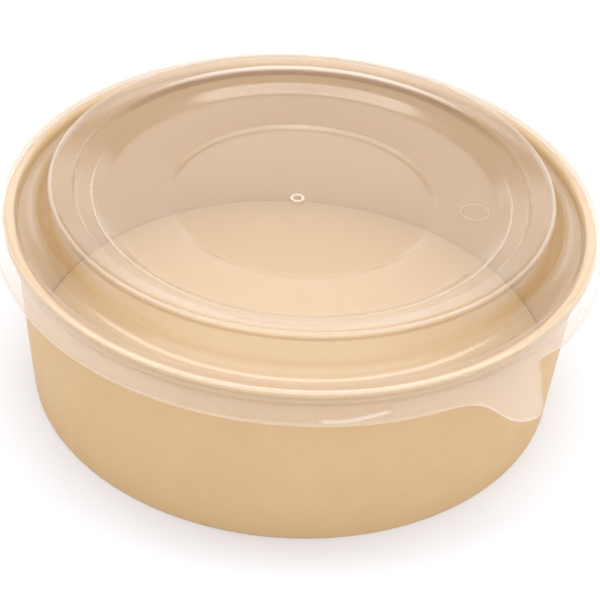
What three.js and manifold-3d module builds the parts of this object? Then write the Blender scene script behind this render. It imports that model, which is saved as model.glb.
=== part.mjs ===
// Round paper salad bowl with a clear press-on lid, empty.
// Millimetres, +Z up. The origin is the middle of the bowl's foot, on the table.
// The lid's pull tab points between -Y (front) and +X (right).
import * as THREE from "three";
import { mergeVertices } from "three/addons/utils/BufferGeometryUtils.js";
import Module from "manifold-3d";

// ---- Driving dimensions ----

const SEGMENTS = 64; // sides of every turned shape
const CLEARANCE = 0.3; // gap between pieces that touch

// Paper bowl.
const BOWL_HEIGHT = 62; // table to the top of the rolled rim
const BASE_RADIUS = 85; // outside of the side wall at the table
const PAPER = 0.5; // one layer of coated paperboard
const ROLL_RADIUS = 1.85; // section of the rolled rim
const ROLL_CENTRE_RADIUS = 90.9; // bowl axis to the middle of the roll
const ROLL_TURN = 300; // degrees of roll, from the wall over the top and back under
const ROLL_STEPS = 10; // faces round the roll
const HEM_HEIGHT = 5.4; // side wall folded in and up at the foot
const FOLD_BEVEL = 0.35; // softened outer edge of that fold
const FLOOR_HEIGHT = 6.3; // table to the top of the base disc
const FLOOR_BEND = 1; // bend from the base disc down into its flange

// Clear lid. Heights are above the top of the bowl's rim.
const LID_SHEET = 0.5;
const LID_CENTRE_HEIGHT = 2.05;
// Middle of the sheet, from the centre outwards: radius, height, corner radius, faces in that corner.
const LID_CORNERS = [
  [40.9, 2.05, 0, 0], // embossed centre disc, lower edge
  [42.7, 2.85, 0, 0], // its upper edge, where the panel starts
  [61.6, 3.5, 0, 0], // panel's edge
  [65.4, 5.65, 0.8, 1], // inner ring
  [70.4, 6.75, 0, 0], // foot of the outer ring
  [71.5, 8.35, 0.8, 1], // outer ring
  [78, 10.6, 2, 3], // crest, the highest edge
  [81.8, -2.3, 6, 4], // cove from the dome wall to the shelf
  [88.1, -2.3, 0.8, 1], // shelf's edge, at the foot of the plug wall inside the rim
  [88.9, 1.55, 1, 1], // bead's inner edge
  [93.75, 1.55, 1.6, 2], // bead over the roll
  [93.05, -4.3, 0, 0], // waist that grips under the roll
];
const SKIRT_EDGE = { radius: 94.45, height: -9 };

// Pull tab: the skirt carried on downwards. Drawn square to TAB_AZIMUTH, as sideways distance and height.
const TAB_AZIMUTH = 41; // degrees from the front towards the right
const TAB_RIGHT = 13.4; // straight side
const TAB_LEFT = -20.7; // where the long curved side leaves the skirt's edge
const TAB_SWEEP = [[-3.2, SKIRT_EDGE.height], [-7, -20.9]]; // handles of that side's curve, left one first
const TAB_BOTTOM = -23.5; // lowest height
const TAB_CORNER = 2.8; // rounded corner between the straight side and the bottom
const TAB_REACH = 8; // depth of the blocks that outline the tab, each side of the sheet

// Relief beside the tab's straight side: the skirt's edge is cut higher there, so the tab bends up.
const RELIEF_HEIGHT = -6.9;
const RELIEF_CORNER = 1.2;
const RELIEF_RIGHT = 32; // where the edge is back at the skirt's height
const RELIEF_SWEEP = [[24, SKIRT_EDGE.height], [20, RELIEF_HEIGHT]]; // handles of its curve, right one first

// Moulding gate: a low ring with a dimple, a little off the lid's centre.
const GATE_OFFSET = -1.4;
const GATE_RADIUS = 1.9;
const GATE_DIMPLE_RADIUS = 0.8;
const GATE_HEIGHT = 0.35; // above the sheet

// ---- Materials ----

const paper = new THREE.MeshStandardMaterial({ color: "#d9b88a", roughness: 0.62, metalness: 0 });
const clearPlastic = new THREE.MeshStandardMaterial({
  color: "#f3e9e4",
  roughness: 0.08,
  metalness: 0,
  transparent: true,
  opacity: 0.3,
});

// ---- Shape helpers ----

const wasm = await Module();
wasm.setup();

const point = (radius, height) => new THREE.Vector2(radius, height);
const radians = THREE.MathUtils.degToRad;

// A closed outline turned about the bowl's axis, with its first side at the front.
// Points that run from the axis outwards underneath, or anticlockwise, give faces that point out.
function turned(outline) {
  const closed = outline[0].x === 0 ? outline : [...outline, outline[0]];
  return new THREE.LatheGeometry(closed, SEGMENTS).rotateX(Math.PI / 2);
}

// Points on an arc about (x, y), from one angle to another in degrees.
function arc(x, y, radius, from, to, steps) {
  return Array.from({ length: steps + 1 }, (_, i) => {
    const angle = radians(from + ((to - from) * i) / steps);
    return point(x + radius * Math.cos(angle), y + radius * Math.sin(angle));
  });
}

// Replaces a corner by an arc that touches both of its sides.
function roundedCorner(before, corner, after, radius, steps) {
  if (radius === 0) return [corner];
  const back = before.clone().sub(corner).normalize();
  const ahead = after.clone().sub(corner).normalize();
  const half = Math.acos(back.dot(ahead)) / 2;
  const turn = Math.sign(ahead.cross(back)) * (Math.PI - 2 * half);
  const bisector = back.clone().add(ahead).normalize();
  const centre = corner.clone().addScaledVector(bisector, radius / Math.sin(half));
  const start = corner.clone().addScaledVector(back, radius / Math.tan(half));
  return Array.from({ length: steps + 1 }, (_, i) =>
    start.clone().rotateAround(centre, (turn * i) / steps),
  );
}

// Shifts an open line sideways, to its left for a positive distance, keeping its corners mitred.
function shifted(line, distance) {
  return line.map((p, i) => {
    const arriving = p.clone().sub(line[Math.max(i - 1, 0)]).normalize();
    const leaving = line[Math.min(i + 1, line.length - 1)].clone().sub(p).normalize();
    if (i === 0) arriving.copy(leaving);
    if (i === line.length - 1) leaving.copy(arriving);
    const normal = point(-arriving.y - leaving.y, arriving.x + leaving.x).normalize();
    return p.clone().addScaledVector(normal, distance / normal.dot(point(-arriving.y, arriving.x)));
  });
}

// A closed three.js geometry as a solid that can be joined and cut, and back again.
function solid(geometry) {
  geometry.deleteAttribute("normal");
  geometry.deleteAttribute("uv");
  const merged = mergeVertices(geometry, 1e-4);
  return new wasm.Manifold(
    new wasm.Mesh({
      numProp: 3,
      vertProperties: merged.attributes.position.array,
      triVerts: new Uint32Array(merged.index.array),
    }),
  );
}

function geometryOf(body) {
  const { vertProperties, triVerts } = body.getMesh();
  const geometry = new THREE.BufferGeometry()
    .setAttribute("position", new THREE.BufferAttribute(vertProperties, 3))
    .setIndex(new THREE.BufferAttribute(triVerts, 1));
  geometry.computeVertexNormals();
  return geometry;
}

function node(name, geometry, material) {
  const mesh = new THREE.Mesh(geometry, material);
  mesh.name = name;
  return mesh;
}

// ---- Paper bowl ----

const rollCentreHeight = BOWL_HEIGHT - ROLL_RADIUS;
const wallTopRadius = ROLL_CENTRE_RADIUS - ROLL_RADIUS + PAPER;
const wallSlope = (wallTopRadius - BASE_RADIUS) / rollCentreHeight;

// Point at a height, a given depth in from the outside of the side wall.
const inWall = (depth, height) => point(BASE_RADIUS + wallSlope * height - depth, height);

// Layers at the foot, outside in: side wall, the base's flange, the side wall's hem.
const flangeDepth = PAPER + CLEARANCE;
const hemDepth = flangeDepth + PAPER + CLEARANCE;

// Side wall: a cone whose top rolls outwards into the rim and whose foot folds in and up.
function sideWall() {
  const roll = (radius) =>
    arc(ROLL_CENTRE_RADIUS, rollCentreHeight, radius, 180, 180 - ROLL_TURN, ROLL_STEPS);
  return turned([
    inWall(hemDepth + PAPER, 0),
    inWall(FOLD_BEVEL, 0),
    inWall(0, FOLD_BEVEL),
    ...roll(ROLL_RADIUS - PAPER),
    ...roll(ROLL_RADIUS).reverse(),
    inWall(PAPER, PAPER),
    inWall(hemDepth, PAPER),
    inWall(hemDepth, HEM_HEIGHT),
    inWall(hemDepth + PAPER, HEM_HEIGHT),
  ]);
}

// Base: a flat disc whose edge turns down into a flange, held between side wall and hem.
function baseDisc() {
  const underside = FLOOR_HEIGHT - PAPER;
  const flangeFoot = PAPER + CLEARANCE;
  const floorEdge = inWall(flangeDepth, FLOOR_HEIGHT);
  const bend = FLOOR_BEND / 2;
  return turned([
    point(0, underside),
    inWall(flangeDepth + PAPER + bend, underside),
    inWall(flangeDepth + PAPER, underside - bend),
    inWall(flangeDepth + PAPER, flangeFoot),
    inWall(flangeDepth, flangeFoot),
    inWall(flangeDepth, FLOOR_HEIGHT - FLOOR_BEND),
    point(floorEdge.x - FLOOR_BEND, FLOOR_HEIGHT),
    point(0, FLOOR_HEIGHT),
  ]);
}

// ---- Lid ----

const waist = LID_CORNERS.at(-1);
const skirtFlare = (SKIRT_EDGE.radius - waist[0]) / (waist[1] - SKIRT_EDGE.height);

// The lid's sheet, with the skirt carried down as deep as the tab.
function lidSheet() {
  const depth = TAB_BOTTOM - 1;
  const corners = [
    [0, LID_CENTRE_HEIGHT, 0, 0],
    ...LID_CORNERS,
    [waist[0] + skirtFlare * (waist[1] - depth), depth, 0, 0],
  ];
  const middle = corners.flatMap(([radius, height, cornerRadius, steps], i) => {
    const before = corners[Math.max(i - 1, 0)];
    const after = corners[Math.min(i + 1, corners.length - 1)];
    return roundedCorner(point(...before), point(radius, height), point(...after), cornerRadius, steps);
  });
  const top = shifted(middle, LID_SHEET / 2);
  const underside = shifted(middle, -LID_SHEET / 2);
  return turned([...underside, ...top.reverse()]);
}

// An outline drawn square to the tab's azimuth, as a block that crosses the sheet.
function acrossSheet(outline) {
  const block = new THREE.ExtrudeGeometry(outline, {
    depth: 2 * TAB_REACH,
    bevelEnabled: false,
    curveSegments: 10,
  });
  // The outline's sideways direction stays level, its height becomes +Z, its depth faces outwards.
  return solid(
    block
      .rotateX(Math.PI / 2)
      .translate(0, TAB_REACH - SKIRT_EDGE.radius, 0)
      .rotateZ(radians(TAB_AZIMUTH)),
  );
}

// The tab, with the strip of skirt above it.
function tabBlock() {
  const top = SKIRT_EDGE.height + 3;
  const bottomEnd = TAB_RIGHT - TAB_CORNER;
  const outline = new THREE.Shape();
  outline.moveTo(TAB_LEFT - 3, top);
  outline.lineTo(TAB_LEFT, SKIRT_EDGE.height);
  outline.bezierCurveTo(...TAB_SWEEP.flat(), bottomEnd, TAB_BOTTOM);
  outline.quadraticCurveTo(TAB_RIGHT, TAB_BOTTOM, TAB_RIGHT, TAB_BOTTOM + TAB_CORNER);
  outline.lineTo(TAB_RIGHT, top);
  return acrossSheet(outline);
}

// What the relief takes away above the skirt's edge.
function reliefBlock() {
  const below = SKIRT_EDGE.height - 3;
  const cornerEnd = TAB_RIGHT + RELIEF_CORNER;
  const outline = new THREE.Shape();
  outline.moveTo(TAB_RIGHT, below);
  outline.lineTo(RELIEF_RIGHT, below);
  outline.lineTo(RELIEF_RIGHT, SKIRT_EDGE.height);
  outline.bezierCurveTo(...RELIEF_SWEEP.flat(), cornerEnd, RELIEF_HEIGHT);
  outline.quadraticCurveTo(TAB_RIGHT, RELIEF_HEIGHT, TAB_RIGHT, RELIEF_HEIGHT - RELIEF_CORNER);
  return acrossSheet(outline);
}

// Everything under the skirt's edge that isn't tab, and the relief.
function belowSkirt() {
  const depth = TAB_BOTTOM - 5;
  const ring = turned([
    point(SKIRT_EDGE.radius - 2 * TAB_REACH, depth),
    point(SKIRT_EDGE.radius + 2 * TAB_REACH, depth),
    point(SKIRT_EDGE.radius + 2 * TAB_REACH, SKIRT_EDGE.height),
    point(SKIRT_EDGE.radius - 2 * TAB_REACH, SKIRT_EDGE.height),
  ]);
  return solid(ring).subtract(tabBlock()).add(reliefBlock());
}

// Ring with a dimple, rooted halfway down in the sheet.
function gate() {
  const top = LID_CENTRE_HEIGHT + LID_SHEET / 2 + GATE_HEIGHT;
  const ring = turned([
    point(0, LID_CENTRE_HEIGHT),
    point(GATE_RADIUS, LID_CENTRE_HEIGHT),
    point(GATE_RADIUS, top - GATE_HEIGHT / 2),
    point(GATE_RADIUS - GATE_HEIGHT, top),
    point(GATE_DIMPLE_RADIUS, top),
    point(0, top - GATE_HEIGHT / 2),
  ]);
  return solid(ring.translate(GATE_OFFSET, 0, 0));
}

const lidBody = solid(lidSheet()).subtract(belowSkirt()).add(gate());

// ---- Assembly ----

const bowl = new THREE.Group();
bowl.add(node("bowl_wall", sideWall(), paper), node("bowl_base", baseDisc(), paper));

const lid = node("lid", geometryOf(lidBody), clearPlastic);
lid.position.z = BOWL_HEIGHT;

const saladBowl = new THREE.Group();
saladBowl.add(bowl, lid);

export default saladBowl;
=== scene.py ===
"""Round paper salad bowl, empty, closed by a clear press-on lid.

Metres, +Z up. The origin is the middle of the bowl's foot, on the table. The front faces -Y and
the lid's pull tab points between the front and +X. Sizes below are in millimetres.
"""

import math
from collections import namedtuple

import bmesh
import bpy
from mathutils import Matrix, Vector


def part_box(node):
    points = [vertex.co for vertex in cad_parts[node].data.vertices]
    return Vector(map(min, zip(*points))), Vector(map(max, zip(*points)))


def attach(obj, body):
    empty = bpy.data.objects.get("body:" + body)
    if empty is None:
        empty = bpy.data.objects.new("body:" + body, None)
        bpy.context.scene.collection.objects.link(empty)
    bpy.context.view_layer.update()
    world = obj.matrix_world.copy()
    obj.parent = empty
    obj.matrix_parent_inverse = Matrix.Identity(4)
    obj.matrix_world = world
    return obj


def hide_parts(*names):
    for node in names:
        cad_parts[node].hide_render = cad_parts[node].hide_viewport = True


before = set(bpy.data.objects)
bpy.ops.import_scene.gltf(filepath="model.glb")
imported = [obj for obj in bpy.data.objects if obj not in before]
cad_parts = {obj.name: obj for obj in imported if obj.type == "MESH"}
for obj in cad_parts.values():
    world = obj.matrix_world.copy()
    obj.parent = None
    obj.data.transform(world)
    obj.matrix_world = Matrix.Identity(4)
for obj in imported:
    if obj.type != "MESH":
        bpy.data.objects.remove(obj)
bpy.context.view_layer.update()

MM = 0.001

# ---------------------------------------------------------------- sizes, in millimetres

# Side wall of the bowl. Its outer size comes from the frame.
BOARD = 0.5  # paperboard with its lining
ROLL_RADIUS = 1.85
ROLL_TURN = 305  # degrees of curl
WALL_SLOPE = 0.0756  # run outwards for each millimetre of height
FOLD_ROUND = 0.45
HEM_HEIGHT = 5.4
FLANGE_DEPTH = 0.6  # from the wall's outside to the base's flange
HEM_DEPTH = 1.6  # from the wall's outside to the folded hem
CRIMP_PITCH = 2.6  # ribs that the closing tool presses into the hem
CRIMP_DEPTH = 0.16
CRIMP_FROM_FOLD = (0.8, 1.6)  # heights between which the ribs set in
CRIMP_FROM_EDGE = (0.4, 1.0)  # distances from the hem's free edge between which they set in

# Glued lap of the side wall: one end of the sheet lies over the other.
LAP_AZIMUTH = 191  # degrees from +X, seen from above
LAP_WIDTH = 7
LAP_EASE = 9  # length over which a sheet settles back after the lap
LAP_LIFT = 0.21
LAP_CUT = 0.04  # from the cut edge to the mesh's columns on both sides of it
LAP_FADE = 2  # height over which the lap's lift sets in

# Base disc.
FLOOR_HEIGHT = 6.3
FLOOR_BEND = 0.4
FLANGE_GAP = 0.3  # under the flange's edge, down to the folded foot
FLOOR_SAG = 0.25
SAG_RADII = (30, 45, 84)  # full between the first two, none at the third
SAG_MEAN = 0.4
SAG_WAVES = [(2, 0.6, 0.35), (3, 2.1, 0.25)]  # waves round the disc, their phase and their share

# Clear lid. Heights are above the top of the bowl's rim.
LID_SHEET = 0.5
LID_CENTRE_HEIGHT = 2.05
# Middle of the sheet from the centre outwards: radius, height, radius of the rounding.
LID_CORNERS = [
    (40.9, 2.05, 0.3),
    (42.7, 2.85, 0.3),
    (61.6, 3.5, 1.2),
    (65.4, 5.65, 0.9),
    (70.4, 6.75, 0.7),
    (71.5, 8.35, 0.8),
    (78.0, 10.6, 2.0),
    (81.8, -2.3, 6.0),
    (88.1, -2.3, 0.8),
    (88.9, 1.55, 1.0),
    (93.75, 1.55, 1.6),
    (93.05, -4.3, 1.2),
]
PANEL_SLOPE = 0.034  # rise of the panel for each millimetre outwards
SKIRT_EDGE = (94.45, -9.0)
SKIRT_START = 1.2  # the skirt's own rows start this far below the waist
SKIRT_HAZE = (-3, -5)  # heights between which the skirt's haze sets in, downwards
SKIRT_RIPPLE = 0.06
SKIRT_WAVES = [(5, 1.0, 1.0), (13, 0.0, 0.6), (29, 0.0, 0.4)]  # waves round it, phase and share
CREASE = [(274.5, -7.9), (288.5, -6.2)]  # azimuth and height of its ends
CREASE_DEPTH = 0.22
CREASE_WIDTH = 0.45
CREASE_PAINTED_GLINT = 0.7  # painted glint: how white the crease's fold is painted, 1 being white
LIP_WIDTH = 0.8  # strip along the edge of skirt and tab that curls outwards
LIP_REACH = 0.5
# painted highlight along the lip's edge, as white haze
LIP_PAINTED_HIGHLIGHT = 0.12

# A tight bend in the clear sheet gets a painted line: a bright one is a painted highlight, laid on as extra
# white haze, and a dark one is painted shade, laid on as a darker see-through tint. It lies at a radius
# and a height, and reaches so far to each side. It has one strength at the front and one at the back, as the
# light falls differently there, and changes between two depths, counted from the front (negative) to the
# back.
Bend = namedtuple("Bend", "radius height reach front back change_from change_to")
# Painted highlights: bright lines painted on the bends as white haze.
PAINTED_HIGHLIGHT_BENDS = [
    Bend(42.2, 2.7, 1.2, 0.0, 0.16, 0, 30),  # step of the centre disc
    Bend(65.3, 5.9, 0.6, 0.3, 0.0, -10, 20),  # inner ring
    Bend(70.5, 7.1, 0.6, 0.25, 0.0, -20, 10),  # foot of the outer ring
    Bend(71.3, 8.2, 0.8, 0.04, 0.8, 46, 70),  # outer ring
    Bend(74.8, 9.5, 3.6, 0.0, 0.1, 20, 45),  # all of the slope up to the crest
    Bend(78.1, 9.8, 0.8, 0.3, 0.3, 0, 1),  # crest
    Bend(93.1, 1.5, 1.0, 0.3, 0.0, -25, 25),  # top of the bead
    Bend(93.9, 0.4, 3.2, 0.0, 0.6, -5, 25),  # outer side of the bead
]
# Painted shade: dark lines painted on the bends as a darker see-through tint.
PAINTED_SHADE_BENDS = [
    Bend(70.1, 6.75, 1.2, 0.0, 0.8, 30, 55),  # foot of the outer ring
    Bend(78.7, 8.4, 0.6, 0.45, 0.45, 0, 1),  # dome wall, just under the crest
    Bend(93.8, -0.7, 0.9, 0.4, 0.0, -25, 25),  # outer side of the bead
]

# Pull tab, in a view square to its azimuth: sideways distance and height.
TAB_AZIMUTH = 41  # degrees from the front towards +X
TAB_LEFT = -20.7  # where the long curved side leaves the skirt's edge
TAB_SWEEP = [(-3.2, -9.0), (-7.0, -20.9)]  # handles of that side's curve
TAB_RIGHT = 13.4
TAB_BOTTOM = -23.5
TAB_CORNER = 2.8
TAB_LEAN = 0.3  # of the straight side, so that every azimuth has one edge height
RELIEF_HEIGHT = -6.9  # the skirt's edge is cut higher beside the tab's straight side
RELIEF_CORNER = 1.2
RELIEF_RIGHT = 32
RELIEF_SWEEP = [(20.0, -6.9), (24.0, -9.0)]

# Moulding gate in the middle of the lid, and a plain ring that the mould leaves on the panel.
GATE_PLACE = (-1.4, 0)
GATE_RADIUS = 1.8
GATE_WIDTH = 0.4
GATE_HEIGHT = 0.5
MOULD_RING_PLACE = (54.0, -3.0)
MOULD_RING_RADIUS = 4.4
MOULD_RING_WIDTH = 0.45
MOULD_RING_RISE = 0.02  # under its round crest

# How finely the meshes are drawn: columns round the axis, and the longest step along a section.
WALL_COLUMNS, WALL_STEP = 720, 3
BASE_COLUMNS, BASE_STEP = 256, 4
LID_COLUMNS, LID_STEP = 360, 2.2
GATE_ROWS, GATE_STEP = 20, 0.2
SKIRT_ROWS, LIP_ROWS = 12, 5
MOULD_RING_COLUMNS = 64

# ---------------------------------------------------------------- camera, from the photo

CAMERA_DISTANCE = 573.3  # to the middle of the rim
CAMERA_ELEVATION = 34.09  # angles in degrees
CAMERA_PAN = -0.147  # turned off the rim's middle
CAMERA_TILT = -2.98
CAMERA_ROLL = -3.70
FOCAL_PIXELS = 1825.6
PICTURE_PIXELS = 600

# ---------------------------------------------------------------- frame

wall_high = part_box("bowl_wall")[1] / MM
BOWL_HEIGHT = wall_high.z
RIM_RADIUS = wall_high.x
ROLL_CENTRE = (RIM_RADIUS - ROLL_RADIUS, BOWL_HEIGHT - ROLL_RADIUS)
WALL_TOP_RADIUS = ROLL_CENTRE[0] - ROLL_RADIUS + BOARD
FOOT_RADIUS = WALL_TOP_RADIUS - WALL_SLOPE * ROLL_CENTRE[1]


# ---------------------------------------------------------------- outlines


def arc(centre, radius, start, end, step=12):
    """Points on an arc, in degrees, at most step degrees apart."""
    count = max(1, math.ceil(abs(end - start) / step))
    angles = (math.radians(start + (end - start) * i / count) for i in range(count + 1))
    return [(centre[0] + radius * math.cos(a), centre[1] + radius * math.sin(a)) for a in angles]


def rounded(before, corner, after, radius, step=7):
    """The corner as an arc that touches both of its sides."""
    if not radius:
        return [tuple(corner)]
    back = (before - corner).normalized()
    ahead = (after - corner).normalized()
    half = math.acos(max(-1, min(1, back.dot(ahead)))) / 2
    centre = corner + (back + ahead).normalized() * (radius / math.sin(half))
    start = corner + back * (radius / math.tan(half)) - centre
    turn = math.copysign(math.pi - 2 * half, ahead.x * back.y - ahead.y * back.x)
    count = max(2, math.ceil(abs(math.degrees(turn)) / step))
    points = []
    for i in range(count + 1):
        angle = turn * i / count
        cos, sin = math.cos(angle), math.sin(angle)
        points.append((centre.x + start.x * cos - start.y * sin, centre.y + start.x * sin + start.y * cos))
    return points


def rounded_line(corners):
    """An open line through corners given as (x, y, rounding radius)."""
    places = [Vector(corner[:2]) for corner in corners]
    line = []
    for i, (corner, place) in enumerate(zip(corners, places)):
        ends = i in (0, len(corners) - 1)
        line += [tuple(place)] if ends else rounded(places[i - 1], place, places[i + 1], corner[2])
    return line


def shifted(line, distance):
    """The line moved to its left, corners mitred."""
    moved = []
    for i, point in enumerate(line):
        here = Vector(point)
        arriving = (here - Vector(line[i - 1])).normalized() if i else None
        leaving = (Vector(line[i + 1]) - here).normalized() if i < len(line) - 1 else arriving
        arriving = arriving or leaving
        normal = Vector((-arriving.y - leaving.y, arriving.x + leaving.x)).normalized()
        reach = distance / normal.dot(Vector((-arriving.y, arriving.x)))
        moved.append(tuple(here + normal * reach))
    return moved


def filled(line, longest):
    """The line with points added so that no stretch is longer than longest."""
    dense = [line[0]]
    for a, b in zip(line, line[1:]):
        count = max(1, math.ceil(math.dist(a, b) / longest))
        dense += [(a[0] + (b[0] - a[0]) * i / count, a[1] + (b[1] - a[1]) * i / count)
                  for i in range(1, count + 1)]
    return dense


def even_azimuths(count):
    """Azimuths in degrees, evenly round the axis."""
    return [360 * i / count for i in range(count)]


def smooth_step(low, high, value):
    """0 at low, 1 at high, with a soft start and end."""
    t = max(0.0, min(1.0, (value - low) / (high - low)))
    return t * t * (3 - 2 * t)


def sum_of_waves(waves, turn):
    """Sines round the axis, given as (waves in a full turn, phase, share)."""
    return sum(share * math.sin(count * turn + phase) for count, phase, share in waves)


# ---------------------------------------------------------------- meshes


def turned(name, section, azimuths, place=None, faces_of=None):
    """A closed section turned about the bowl's axis.

    section is a list of (radius, height). place(row, radius, height, azimuth) may move a point: it
    gives its radius, its height and how strongly a painted highlight whitens the plastic there, from 0 to 1.
    faces_of(row) gives the material slot between that row and the next.
    """
    mesh = bpy.data.meshes.new(name)
    bm = bmesh.new()
    highlight_paint = bm.verts.layers.float.new("highlight_paint")
    columns = []
    for azimuth in azimuths:
        turn = math.radians(azimuth)
        cos, sin = math.cos(turn), math.sin(turn)
        column = []
        for row, (radius, height) in enumerate(section):
            painted_highlight_share = 0
            if place:
                radius, height, painted_highlight_share = place(row, radius, height, azimuth)
            vertex = bm.verts.new((radius * cos * MM, radius * sin * MM, height * MM))
            vertex[highlight_paint] = painted_highlight_share
            column.append(vertex)
        columns.append(column)
    open_on_axis = section[0][0] == 0 and section[-1][0] == 0
    rows = len(section) - 1 if open_on_axis else len(section)
    for i, here in enumerate(columns):
        there = columns[(i + 1) % len(columns)]
        for row in range(rows):
            after = (row + 1) % len(section)
            face = bm.faces.new((here[row], there[row], there[after], here[after]))
            face.smooth = True
            face.material_index = faces_of(row) if faces_of else 0
    bmesh.ops.remove_doubles(bm, verts=bm.verts, dist=1e-7)
    bmesh.ops.recalc_face_normals(bm, faces=bm.faces)
    bm.to_mesh(mesh)
    bm.free()
    piece = bpy.data.objects.new(name, mesh)
    bpy.context.scene.collection.objects.link(piece)
    return piece


def finish_piece(piece, materials, slot, *nodes):
    """Gives a piece its materials and its place in the frame."""
    for material in materials:
        piece.data.materials.append(material)
    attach(piece, "root")
    if nodes:
        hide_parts(*nodes)
    return piece


def soft_creases(piece, angle=50):
    """Keeps edges sharper than angle, in degrees, crisp in the shading."""
    piece.data.set_sharp_from_angle(angle=math.radians(angle))
    return piece


# ---------------------------------------------------------------- materials


def linear(hex_colour):
    """An sRGB hex colour as a linear RGBA."""
    channels = [int(hex_colour[i : i + 2], 16) / 255 for i in (1, 3, 5)]
    return (*(c / 12.92 if c <= 0.04045 else ((c + 0.055) / 1.055) ** 2.4 for c in channels), 1.0)


def per_metre(millimetres):
    """Texture scale for a pattern of that pitch."""
    return 1 / (millimetres * MM)


def add_node(tree, kind, settings=None, links=None):
    """Adds a node, sets its properties and unlinked sockets, and links its inputs."""
    node = tree.nodes.new(kind)
    for key, value in (settings or {}).items():
        if isinstance(key, int) or key in node.inputs:
            node.inputs[key].default_value = value
        else:
            setattr(node, key, value)
    for key, source in (links or {}).items():
        tree.links.new(source, node.inputs[key])
    return node


def new_material(name):
    """An empty node material and its tree."""
    material = bpy.data.materials.new(name)
    material.use_nodes = True
    material.node_tree.nodes.clear()
    return material, material.node_tree


def paperboard(name, light, dark, roughness, fibre_strength, coat=0.0):
    """Paperboard: matted plant fibres, pressed between rollers.

    Fine fibres lie in all directions, and the sheet is cloudy where the pulp lay thicker. A coat is the
    thin clear lining of the inside, which gives it a soft gloss.
    """
    material, tree = new_material(name)
    place = add_node(tree, "ShaderNodeTexCoord").outputs["Object"]
    # Fibres are about 0.03 mm wide. They are drawn 0.45 mm apart, which is as fine as shows.
    fibres = add_node(
        tree, "ShaderNodeTexNoise",
        {"Scale": per_metre(0.45), "Detail": 3.0, "Roughness": 0.65, "Distortion": 1.2},
        {"Vector": place},
    ).outputs["Fac"]
    # The sheet's cloudiness, seen as patches of several millimetres.
    clouds = add_node(
        tree, "ShaderNodeTexNoise",
        {"Scale": per_metre(9), "Detail": 4.0, "Roughness": 0.55},
        {"Vector": place},
    ).outputs["Fac"]
    mixed = add_node(
        tree, "ShaderNodeMix", {"data_type": "FLOAT", 0: 0.45}, {2: clouds, 3: fibres}
    ).outputs[0]
    colour = add_node(tree, "ShaderNodeValToRGB", links={"Fac": mixed})
    colour.color_ramp.elements[0].position = 0.3
    colour.color_ramp.elements[0].color = linear(dark)
    colour.color_ramp.elements[1].position = 0.7
    colour.color_ramp.elements[1].color = linear(light)
    bump = add_node(
        tree, "ShaderNodeBump", {"Strength": fibre_strength, "Distance": 0.03 * MM}, {"Height": fibres}
    )
    surface = add_node(
        tree, "ShaderNodeBsdfPrincipled",
        {"Roughness": roughness, "IOR": 1.5, "Coat Weight": coat, "Coat Roughness": 0.22, "Coat IOR": 1.5},
        {"Base Color": colour.outputs["Color"], "Normal": bump.outputs["Normal"]},
    )
    add_node(tree, "ShaderNodeOutputMaterial", links={"Surface": surface.outputs[0]})
    return material


def painted_bend_line(tree, in_section, depth, bend):
    """How strong the painted line of a bend in the lid's section is (painted highlight or painted shade),
    from 0 beside it to its strength on it.
    """
    place = (bend.radius * MM, (BOWL_HEIGHT + bend.height) * MM, 0)
    away = add_node(tree, "ShaderNodeVectorMath", {"operation": "DISTANCE", 1: place}, {0: in_section})
    near = add_node(
        tree, "ShaderNodeMapRange",
        {"From Min": bend.reach / 2 * MM, "From Max": bend.reach * MM, "To Min": 1.0, "To Max": 0.0},
        {"Value": away.outputs["Value"]},
    )
    strength = add_node(
        tree, "ShaderNodeMapRange",
        {
            "From Min": bend.change_from * MM, "From Max": bend.change_to * MM,
            "To Min": bend.front, "To Max": bend.back,
        },
        {"Value": depth},
    )
    return add_node(
        tree, "ShaderNodeMath", {"operation": "MULTIPLY"}, {0: near.outputs[0], 1: strength.outputs[0]}
    ).outputs[0]


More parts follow.
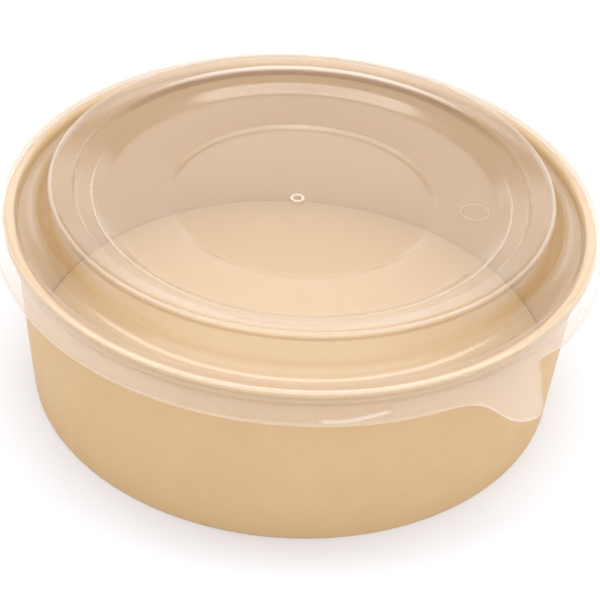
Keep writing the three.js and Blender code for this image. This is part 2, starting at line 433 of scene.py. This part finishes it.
def clear_polypropylene():
    """Polypropylene, injection moulded thin: clear and glossy, with a slight milky haze.

    The sheet is too thin to bend what is seen through it, so light goes straight on.
    """
    material, tree = new_material("clear_polypropylene")
    facing = add_node(tree, "ShaderNodeLayerWeight", {"Blend": 0.5}).outputs["Facing"]
    # Seen edge-on the way through the plastic is longer, so it looks greyer there.
    tint = add_node(tree, "ShaderNodeValToRGB", links={"Fac": facing})
    tint.color_ramp.elements[0].position = 0.94
    tint.color_ramp.elements[0].color = linear("#fcfaf8")
    tint.color_ramp.elements[1].position = 1.0
    tint.color_ramp.elements[1].color = linear("#8f8176")
    tint = tint.outputs["Color"]
    place = add_node(tree, "ShaderNodeTexCoord").outputs["Object"]
    _, depth, height = add_node(tree, "ShaderNodeSeparateXYZ", links={0: place}).outputs
    flat_place = add_node(tree, "ShaderNodeVectorMath", {"operation": "MULTIPLY", 1: (1, 1, 0)}, {0: place})
    radius = add_node(tree, "ShaderNodeVectorMath", {"operation": "LENGTH"}, {0: flat_place.outputs[0]})
    in_section = add_node(
        tree, "ShaderNodeCombineXYZ", links={"X": radius.outputs["Value"], "Y": height}
    ).outputs[0]
    # Painted shade: the see-through tint is darkened along the dark bends.
    for bend in PAINTED_SHADE_BENDS:
        tint = add_node(
            tree, "ShaderNodeMix", {"data_type": "RGBA", "blend_type": "MULTIPLY", 7: linear("#dfd8cc")},
            {0: painted_bend_line(tree, in_section, depth, bend), 6: tint},
        ).outputs[2]
    through = add_node(tree, "ShaderNodeBsdfTransparent", links={"Color": tint})
    haze = add_node(tree, "ShaderNodeBsdfDiffuse", {"Color": linear("#f5e9da"), "Roughness": 0.5})
    glow = add_node(tree, "ShaderNodeBsdfTranslucent", {"Color": linear("#f5e9da")})
    scatter = add_node(tree, "ShaderNodeMixShader", {0: 0.35}, {1: haze.outputs[0], 2: glow.outputs[0]})
    # The skirt and the tab come from a blasted part of the mould, for grip, so they are hazier, the more
    # so where they are seen slanting.
    slanting = add_node(
        tree, "ShaderNodeMapRange",
        {"From Min": 0.05, "From Max": 0.3, "To Min": 0.07, "To Max": 0.24},
        {"Value": facing},
    )
    haze_from, haze_full = ((BOWL_HEIGHT + above_rim) * MM for above_rim in SKIRT_HAZE)
    on_skirt = add_node(
        tree, "ShaderNodeMapRange", {"From Min": haze_from, "From Max": haze_full}, {"Value": height}
    )
    haze_and_painted_highlight = add_node(
        tree, "ShaderNodeMath", {"operation": "MULTIPLY_ADD", 2: 0.02},
        {0: slanting.outputs[0], 1: on_skirt.outputs[0]},
    ).outputs[0]
    # Painted highlights, as white haze: on the ring of the gate, a painted glint in the crease, along the
    # edge of skirt and tab, and on the bright bends; added to the skirt's real haze.
    highlight_paint = add_node(tree, "ShaderNodeAttribute", {"attribute_name": "highlight_paint"}).outputs["Fac"]
    for painted_brightening in [highlight_paint] + [painted_bend_line(tree, in_section, depth, bend) for bend in PAINTED_HIGHLIGHT_BENDS]:
        haze_and_painted_highlight = add_node(
            tree, "ShaderNodeMath", {"operation": "ADD", "use_clamp": True}, {0: haze_and_painted_highlight, 1: painted_brightening}
        ).outputs[0]
    body = add_node(
        tree, "ShaderNodeMixShader", links={0: haze_and_painted_highlight, 1: through.outputs[0], 2: scatter.outputs[0]}
    )
    shine = add_node(tree, "ShaderNodeBsdfAnisotropic", {"Color": linear("#ffffff"), "Roughness": 0.1})
    # Each face of the sheet mirrors about 4% head on, and more than half at a grazing angle.
    grazing = add_node(tree, "ShaderNodeMath", {"operation": "POWER", 1: 4.0}, {0: facing})
    mirror = add_node(
        tree, "ShaderNodeMapRange", {"To Min": 0.045, "To Max": 0.6}, {"Value": grazing.outputs[0]}
    )
    surface = add_node(
        tree, "ShaderNodeMixShader", links={0: mirror.outputs[0], 1: body.outputs[0], 2: shine.outputs[0]}
    )
    add_node(tree, "ShaderNodeOutputMaterial", links={"Surface": surface.outputs[0]})
    return material


def matt_white_table():
    """Matt white laminate: an even pale surface."""
    material, tree = new_material("matt_white_laminate")
    surface = add_node(
        tree, "ShaderNodeBsdfPrincipled",
        {"Base Color": linear("#e6e8ec"), "Roughness": 0.9, "Specular IOR Level": 0.2},
    )
    add_node(tree, "ShaderNodeOutputMaterial", links={"Surface": surface.outputs[0]})
    return material


# ---------------------------------------------------------------- paper bowl


def in_wall(depth, height):
    """A point that deep in from the side wall's outside."""
    return (FOOT_RADIUS + WALL_SLOPE * height - depth, height)


def wall_section():
    """Closed section of the side wall, in four stretches.

    It runs from the hem's free edge round the foot and up the outside, along the inner face of the roll
    to its free edge, back over the roll, and down the lining into the hem.
    """
    outer_roll = arc(ROLL_CENTRE, ROLL_RADIUS, 180, 180 - ROLL_TURN, 8)
    inner_roll = arc(ROLL_CENTRE, ROLL_RADIUS - BOARD, 180 - ROLL_TURN, 180, 8)
    deep = HEM_DEPTH + BOARD
    foot = rounded_line([
        (*in_wall(deep, HEM_HEIGHT), 0),
        (*in_wall(deep, 0), FOLD_ROUND),
        (*in_wall(0, 0), FOLD_ROUND),
        (*inner_roll[-1], 0),
    ])
    inside = [outer_roll[0], in_wall(BOARD, BOARD), in_wall(HEM_DEPTH, BOARD), in_wall(HEM_DEPTH, HEM_HEIGHT)]
    lining = filled(inside, WALL_STEP)
    return filled(foot, WALL_STEP), inner_roll[-2::-1], outer_roll[::-1], lining[1:]


def hem_crimp(azimuth, height):
    """How far the crimped ribs press into the hem's free face. They fade out at the fold and the edge."""
    ribs = math.radians(azimuth) * FOOT_RADIUS / CRIMP_PITCH
    fade = smooth_step(*CRIMP_FROM_FOLD, height) * smooth_step(*CRIMP_FROM_EDGE, HEM_HEIGHT - height)
    return CRIMP_DEPTH * fade * max(0, math.sin(2 * math.pi * ribs))


def lap_lift(azimuth, side):
    """How far the lap lifts the outside (side 1) or the inside (side -1) of the wall."""
    along = math.radians((azimuth - LAP_AZIMUTH + 180) % 360 - 180) * RIM_RADIUS * side
    if along < 0:
        return LAP_LIFT * smooth_step(-LAP_EASE - LAP_WIDTH, -LAP_WIDTH, along)
    return 0.0


def lap_azimuths():
    """A close pair of columns at the lap's cut edge."""
    step = math.degrees(LAP_CUT / RIM_RADIUS)
    return [LAP_AZIMUTH - step, LAP_AZIMUTH + step]


def side_wall():
    """The wall is one sheet, wrapped and glued in a lap, its foot folded in and its top rolled out."""
    outside, inner_roll, outer_roll, lining = wall_section()
    section = outside + inner_roll + outer_roll + lining
    lining_from = len(outside) + len(inner_roll)

    def faces_of(row):
        return 1 if row >= lining_from else 0

    def place(row, radius, height, azimuth):
        on_hem = radius < FOOT_RADIUS - HEM_DEPTH and height > 1
        if on_hem and not faces_of(row):
            return radius + hem_crimp(azimuth, height), height, 0
        side, lowest = (-1, FLOOR_HEIGHT) if faces_of(row) else (1, 0)
        lift = lap_lift(azimuth, side) * smooth_step(0, LAP_FADE, height - lowest)
        return radius + lift * side, height, 0

    azimuths = sorted(even_azimuths(WALL_COLUMNS) + lap_azimuths())
    return soft_creases(turned("side_wall", section, azimuths, place, faces_of))


def floor_sag(radius, azimuth):
    """How far the base disc hangs below its flat plane."""
    full_from, full_to, edge = SAG_RADII
    wave = SAG_MEAN + sum_of_waves(SAG_WAVES, math.radians(azimuth))
    return FLOOR_SAG * wave * smooth_step(0, full_from, radius) * smooth_step(edge, full_to, radius)


def base_disc():
    """A flat disc of board with its edge turned down and held in the folded foot."""
    underside = FLOOR_HEIGHT - BOARD
    foot = BOARD + FLANGE_GAP
    inner = FLANGE_DEPTH + BOARD
    bottom = filled(rounded_line([
        (0, underside, 0),
        (*in_wall(inner, underside), FLOOR_BEND - BOARD / 2),
        (*in_wall(inner, foot), 0),
    ]), BASE_STEP)
    top = filled(rounded_line([
        (*in_wall(FLANGE_DEPTH, foot), 0),
        (*in_wall(FLANGE_DEPTH, FLOOR_HEIGHT), FLOOR_BEND),
        (0, FLOOR_HEIGHT, 0),
    ]), BASE_STEP)

    def place(row, radius, height, azimuth):
        sag = floor_sag(radius, azimuth) if height > foot + 1 else 0
        return radius, height - sag, 0

    def faces_of(row):
        return 1 if row >= len(bottom) - 1 else 0

    return soft_creases(turned("base_disc", bottom + top, even_azimuths(BASE_COLUMNS), place, faces_of))


# ---------------------------------------------------------------- lid


def skirt_radius(height):
    """Middle of the skirt's sheet at a height below the waist."""
    waist = LID_CORNERS[-1]
    flare = (SKIRT_EDGE[0] - waist[0]) / (waist[1] - SKIRT_EDGE[1])
    return SKIRT_EDGE[0] + flare * (SKIRT_EDGE[1] - height)


def bezier(points, count):
    """A cubic Bezier curve as count + 1 points."""
    a, b, c, d = (Vector(p) for p in points)
    curve = []
    for i in range(count + 1):
        t = i / count
        s = 1 - t
        curve.append(tuple(a * s**3 + b * 3 * t * s**2 + c * 3 * t**2 * s + d * t**3))
    return curve


def tab_outline():
    """The skirt's lower edge across the tab and its relief, as (sideways, height), from left to right."""
    edge = SKIRT_EDGE[1]
    corner_left = TAB_RIGHT - TAB_CORNER
    long_side = bezier([(TAB_LEFT, edge), *TAB_SWEEP, (corner_left, TAB_BOTTOM)], 30)
    corner = arc((corner_left, TAB_BOTTOM + TAB_CORNER), TAB_CORNER, -84, -4, 8)
    root_right = TAB_RIGHT + TAB_LEAN + RELIEF_CORNER
    root = arc((root_right, RELIEF_HEIGHT - RELIEF_CORNER), RELIEF_CORNER, 176, 94, 12)
    relief = bezier([(root_right, RELIEF_HEIGHT), *RELIEF_SWEEP, (RELIEF_RIGHT, edge)], 16)
    return long_side + corner + root + relief


def tab_azimuth(sideways, height):
    """Azimuth of a point of the tab's outline."""
    return 270 + TAB_AZIMUTH + math.degrees(math.asin(sideways / skirt_radius(height)))


def edge_height(azimuth, edge_line):
    """Height of the skirt's lower edge at an azimuth."""
    for (a, low), (b, high) in zip(edge_line, edge_line[1:]):
        if a <= azimuth <= b:
            return low + (high - low) * (azimuth - a) / (b - a)
    return SKIRT_EDGE[1]


def edge_distance(sideways, height, outline):
    """Distance from the skirt's lower edge, with the tab's outline."""
    here = Vector((sideways, height))
    beside_tab = not outline[0][0] < sideways < outline[-1][0]
    nearest = height - SKIRT_EDGE[1] if beside_tab else math.inf
    for a, b in zip(outline, outline[1:]):
        start, side = Vector(a), Vector(b) - Vector(a)
        share = max(0, min(1, (here - start).dot(side) / side.length_squared))
        nearest = min(nearest, (start + side * share - here).length)
    return max(0, nearest)


def crease(azimuth, height):
    """A shallow slanting crease in the skirt's front, with a painted glint in white along its fold: 1 on it,
    0 beside it.
    """
    start, end = CREASE
    along = (azimuth - start[0]) / (end[0] - start[0])
    if not 0 < along < 1:
        return 0
    off = (height - start[1] - (end[1] - start[1]) * smooth_step(0.3, 1, along)) / CREASE_WIDTH
    return math.exp(-off * off) * smooth_step(0, 0.15, along) * smooth_step(1, 0.85, along)


def crease_azimuths(offset=0.35, step=0.5):
    """Extra columns over the crease, clear of the even ones."""
    (start, _), (end, _) = CREASE
    return [start + offset + step * i for i in range(round((end - start) / step))]


def gate_ring(x, y):
    """Raised ring that the moulding gate leaves in the lid's middle: 1 on its crest, 0 beside it."""
    distance = math.dist((x, y), GATE_PLACE)
    return math.exp(-(((distance - GATE_RADIUS) / GATE_WIDTH) ** 2))


def skirt_rows():
    """The skirt's rows from its outer face round its edge to its inner face.

    Each is the share of the way down to the lip, 1 before and 0 at the end of the lip, and the offset
    from the middle of the sheet outwards and upwards.
    """
    half = LID_SHEET / 2
    down = [(i / SKIRT_ROWS, 1) for i in range(1, SKIRT_ROWS + 1)]
    down += [(1, 1 - i / LIP_ROWS) for i in range(1, LIP_ROWS + 1)]
    edge = [(1, 0, *offset) for offset in arc((0, 0), half, -30, -150, 30)]
    return [(*row, half, 0) for row in down] + edge + [(*row, -half, 0) for row in down[::-1]]


def clear_lid():
    """One moulded sheet: disc, panel, two rings, dome wall, cove, bead, waist, skirt and tab."""
    outline = tab_outline()
    edge_line = [(tab_azimuth(*point), point[1]) for point in outline]
    skirt_top = LID_CORNERS[-1][1] - SKIRT_START
    gate_rows = [(GATE_STEP * i, LID_CENTRE_HEIGHT) for i in range(GATE_ROWS + 1)]
    waist_end = (skirt_radius(skirt_top), skirt_top, 0)
    middle = gate_rows[:-1] + filled(rounded_line([(*gate_rows[-1], 0), *LID_CORNERS, waist_end]), LID_STEP)
    top = shifted(middle, LID_SHEET / 2)
    underside = shifted(middle, -LID_SHEET / 2)
    hanging = skirt_rows()
    section = top + [(SKIRT_EDGE[0], skirt_top)] * len(hanging) + underside[::-1]

    # The gate ring's crest is painted white, a painted highlight.
    def on_gate(radius, height, turn):
        ring = gate_ring(radius * math.cos(turn), radius * math.sin(turn))
        return radius, height + GATE_HEIGHT * ring + BOWL_HEIGHT, ring

    def on_skirt(row, azimuth, turn):
        share, before_lip, outwards, upwards = row
        lowest = edge_height(azimuth, edge_line)
        height = skirt_top + share * (lowest + LIP_WIDTH - skirt_top) - (1 - before_lip) * LIP_WIDTH
        from_tab = turn - math.radians(270 + TAB_AZIMUTH)
        distance = height - SKIRT_EDGE[1]
        if math.cos(from_tab) > 0:
            distance = edge_distance(skirt_radius(height) * math.sin(from_tab), height, outline)
        lip = max(0, 1 - distance / LIP_WIDTH)
        creased = crease(azimuth, height)
        # The ripple grows down the skirt, as its top is held by the waist.
        ripple = SKIRT_RIPPLE * sum_of_waves(SKIRT_WAVES, turn) * min(1, share * 1.5)
        radius = skirt_radius(height) + outwards + LIP_REACH * lip**1.5 + ripple + CREASE_DEPTH * creased
        # The lip gets a painted highlight and the crease a painted glint, both as white haze.
        return radius, height + upwards + BOWL_HEIGHT, LIP_PAINTED_HIGHLIGHT * lip + CREASE_PAINTED_GLINT * creased

    def place(row, radius, height, azimuth):
        turn = math.radians(azimuth)
        if row < len(gate_rows):
            return on_gate(radius, height, turn)
        if 0 <= row - len(top) < len(hanging):
            return on_skirt(hanging[row - len(top)], azimuth, turn)
        return radius, height + BOWL_HEIGHT, 0

    # The tab's outline brings columns of its own, and the even ones stay clear of them.
    first, last = edge_line[0][0], edge_line[-1][0]
    azimuths = [a for a in even_azimuths(LID_COLUMNS) if not first - 0.2 < a < last + 0.2]
    azimuths = sorted(azimuths + crease_azimuths() + [azimuth for azimuth, _ in edge_line])
    return soft_creases(turned("clear_lid", section, azimuths, place), 70)


def mould_ring():
    """A plain low ring moulded on the panel."""
    x, y = MOULD_RING_PLACE
    panel_radius, panel_height, _ = LID_CORNERS[1]
    panel = panel_height + (math.hypot(x, y) - panel_radius) * PANEL_SLOPE + LID_SHEET / 2
    half = MOULD_RING_WIDTH / 2
    crest = arc((MOULD_RING_RADIUS, MOULD_RING_RISE), half, 180, 0, 30)
    foot = [(MOULD_RING_RADIUS + half, 0), (MOULD_RING_RADIUS - half, 0)]
    ring = turned("mould_ring", crest + foot, even_azimuths(MOULD_RING_COLUMNS))
    ring.data.transform(Matrix.Translation(Vector((x, y, panel + BOWL_HEIGHT)) * MM))
    return ring


# ---------------------------------------------------------------- studio


TABLE_SIZE = 3.0  # metres from the middle to each side


def table():
    """The table top that the bowl stands on."""
    mesh = bpy.data.meshes.new("table")
    corners = [(x * TABLE_SIZE, y * TABLE_SIZE, 0) for x, y in ((-1, -1), (1, -1), (1, 1), (-1, 1))]
    mesh.from_pydata(corners, [], [(0, 1, 2, 3)])
    mesh.materials.append(matt_white_table())
    top = bpy.data.objects.new("table", mesh)
    bpy.context.scene.collection.objects.link(top)


# Brightness of the white tent round the table, white paper in full light being 1: the angle from the
# back horizon over the top to the front horizon, in degrees, and the brightness there.
TENT = [
    (20, 1.6), (31, 2.2), (33, 2.2), (35, 1.75), (40, 1.2), (57, 1.35), (66, 1.6), (74, 1.8),
    (79, 4.2), (84, 4.0), (91, 3.4), (98, 1.5), (114, 1.4), (128, 1.8), (150, 1.3), (170, 0.7),
]
TENT_SIDES = (0.8, 1.16)  # brightness at the left and at the right
TENT_SIDE_FROM, TENT_SIDE_FULL = 0.6, 0.86  # sideways share of a direction that is on a side wall


def light_tent():
    """Light from all round: a bright back wall, a dimmer gap above it, and a bright strip overhead."""
    world = bpy.data.worlds.new("light_tent")
    bpy.context.scene.world = world
    world.use_nodes = True
    tree = world.node_tree
    direction = add_node(tree, "ShaderNodeTexCoord").outputs["Generated"]
    x, y, z = add_node(tree, "ShaderNodeSeparateXYZ", links={0: direction}).outputs
    angle = add_node(tree, "ShaderNodeMath", {"operation": "ARCTAN2"}, {0: z, 1: y})
    half_turns = add_node(tree, "ShaderNodeMath", {"operation": "DIVIDE", 1: math.pi}, {0: angle.outputs[0]})
    arch = add_node(tree, "ShaderNodeValToRGB", links={"Fac": half_turns.outputs[0]})
    brightest = max(brightness for _, brightness in TENT)
    ramp = arch.color_ramp
    ramp.interpolation = "EASE"
    while len(ramp.elements) < len(TENT):
        ramp.elements.new(1.0)
    for element, (degrees, brightness) in zip(ramp.elements, TENT):
        element.position = degrees / 180
        element.color = (*[brightness / brightest] * 3, 1)
    on_arch = add_node(
        tree, "ShaderNodeMath", {"operation": "MULTIPLY", 1: brightest}, {0: arch.outputs[0]}
    )
    left, right = TENT_SIDES
    on_sides = add_node(
        tree, "ShaderNodeMapRange", {"From Min": -1.0, "To Min": left, "To Max": right}, {"Value": x}
    )
    sideways = add_node(tree, "ShaderNodeMath", {"operation": "ABSOLUTE"}, {0: x})
    to_side = add_node(
        tree, "ShaderNodeMapRange",
        {"interpolation_type": "SMOOTHSTEP", "From Min": TENT_SIDE_FROM, "From Max": TENT_SIDE_FULL},
        {"Value": sideways.outputs[0]},
    )
    brightness = add_node(
        tree, "ShaderNodeMix", {"data_type": "FLOAT"},
        {0: to_side.outputs[0], 2: on_arch.outputs[0], 3: on_sides.outputs[0]},
    )
    tent = add_node(
        tree, "ShaderNodeBackground", {"Color": linear("#fbfcff")}, {"Strength": brightness.outputs[0]}
    )
    tree.links.new(tent.outputs[0], tree.nodes["World Output"].inputs["Surface"])


def studio():
    """Light and colour settings."""
    light_tent()
    bpy.context.scene.view_settings.view_transform = "Standard"
    # A line of sight crosses many faces of the clear sheet.
    bpy.context.scene.cycles.transparent_max_bounces = 24


def camera():
    """The photograph's view."""
    elevation = math.radians(CAMERA_ELEVATION)
    rim_middle = Vector((0, 0, BOWL_HEIGHT)) * MM
    back = Vector((0, -math.cos(elevation), math.sin(elevation)))
    data = bpy.data.cameras.new("camera")
    data.sensor_width = 36
    data.lens = FOCAL_PIXELS * data.sensor_width / PICTURE_PIXELS
    data.clip_start, data.clip_end = 0.01, 20
    eye = bpy.data.objects.new("camera", data)
    aim = (-back).to_track_quat("-Z", "Y").to_matrix()
    turn = (
        Matrix.Rotation(math.radians(CAMERA_PAN), 3, "Y")
        @ Matrix.Rotation(math.radians(CAMERA_TILT), 3, "X")
        @ Matrix.Rotation(math.radians(-CAMERA_ROLL), 3, "Z")
    )
    eye.matrix_world = Matrix.Translation(rim_middle + back * CAMERA_DISTANCE * MM) @ (aim @ turn).to_4x4()
    bpy.context.scene.collection.objects.link(eye)
    bpy.context.scene.camera = eye


# ---------------------------------------------------------------- the whole

kraft_outside = paperboard("kraft_board_outside", "#cfad7e", "#c9a676", 0.6, 0.5)
kraft_lining = paperboard("kraft_board_lined", "#d4b98b", "#d0b485", 0.55, 0.25, coat=1.0)
polypropylene = clear_polypropylene()

camera()
finish_piece(side_wall(), [kraft_outside, kraft_lining], "paper", "bowl_wall")
finish_piece(base_disc(), [kraft_outside, kraft_lining], "paper", "bowl_base")
finish_piece(clear_lid(), [polypropylene], "clear_lid", "lid")
finish_piece(mould_ring(), [polypropylene], "clear_lid")
table()
studio()
